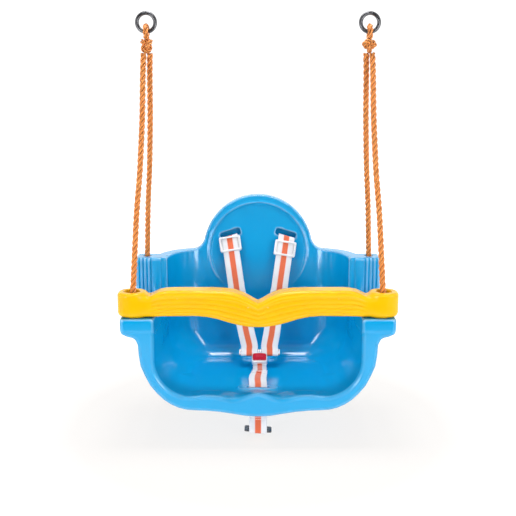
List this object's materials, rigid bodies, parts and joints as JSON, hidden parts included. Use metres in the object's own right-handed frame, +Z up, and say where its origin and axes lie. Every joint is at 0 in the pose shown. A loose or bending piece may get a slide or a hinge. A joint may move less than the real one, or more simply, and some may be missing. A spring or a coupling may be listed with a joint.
{
  "type": "toddler bucket swing",
  "caption": "Moulded toddler swing seat with a round headrest, a safety bar that slides on the ropes, a buckled harness and four ropes on two rings.",
  "frame": {"origin": "midway between the two hanging rings, on the line through their lowest wires, which is the swing's hinge line", "axes": "+Z up, +X to the right as seen from the front, +Y from the front of the seat towards its backrest"},
  "size_m": [0.4252, 0.2597, 0.652],
  "materials": {
    "blue_plastic": "satin",
    "yellow_plastic": "satin",
    "white_plastic": "satin",
    "red_plastic": "satin",
    "webbing": "woven, with an orange-red centre stripe",
    "rope": "three-strand twisted",
    "steel": "zinc plated"
  },
  "bodies": {
    "hanging_rings": {"hanging_ring_left": "steel", "hanging_ring_right": "steel"},
    "seat": {"seat_shell": "blue_plastic", "shoulder_strap_left": "webbing", "ring_knot_left": "rope", "front_rope_left": "rope", "rear_rope_left": "rope", "front_rope_knot_left": "rope", "rear_rope_knot_left": "rope", "strap_keeper_left": "steel", "shoulder_strap_right": "webbing", "ring_knot_right": "rope", "front_rope_right": "rope", "rear_rope_right": "rope", "front_rope_knot_right": "rope", "rear_rope_knot_right": "rope", "strap_keeper_right": "steel", "crotch_strap": "webbing", "crotch_strap_keeper": "steel", "buckle_housing": "white_plastic", "button_spring": "steel"},
    "safety_bar": {"safety_bar": "yellow_plastic"},
    "buckle_button": {"buckle_button": "red_plastic"},
    "buckle_tongue_left": {"buckle_tongue_left": "steel"},
    "shoulder_slider_left": {"shoulder_slider_left": "white_plastic"},
    "buckle_tongue_right": {"buckle_tongue_right": "steel"},
    "shoulder_slider_right": {"shoulder_slider_right": "white_plastic"}
  },
  "joints": [
    {"name": "seat_swing", "type": "hinge", "parent": "hanging_rings", "child": "seat", "pos_m": [0, 0, 0], "axis": [1, 0, 0], "range_deg": [-45, 45]},
    {"name": "bar_lift", "type": "slide", "parent": "seat", "child": "safety_bar", "axis": [0, 0.2389, 0.971], "range_m": [0, 0.11]},
    {"name": "button_press", "type": "slide", "parent": "seat", "child": "buckle_button", "axis": [0, 0.6, -0.8], "range_m": [0, 0.0025], "stiffness_N_per_m": 400, "springref_m": -0.001, "deforming": ["button_spring"]},
    {"name": "tongue_release_left", "type": "slide", "parent": "seat", "child": "buckle_tongue_left", "axis": [0, 0.8, 0.6], "range_m": [0, 0.012], "deforming": ["shoulder_strap_left"]},
    {"name": "slider_travel_left", "type": "slide", "parent": "seat", "child": "shoulder_slider_left", "axis": [0.1446, -0.4294, -0.8915], "range_m": [0, 0.045]},
    {"name": "tongue_release_right", "type": "slide", "parent": "seat", "child": "buckle_tongue_right", "axis": [0, 0.8, 0.6], "range_m": [0, 0.012], "deforming": ["shoulder_strap_right"]},
    {"name": "slider_travel_right", "type": "slide", "parent": "seat", "child": "shoulder_slider_right", "axis": [-0.1446, -0.4294, -0.8915], "range_m": [0, 0.0385]}
  ]
}
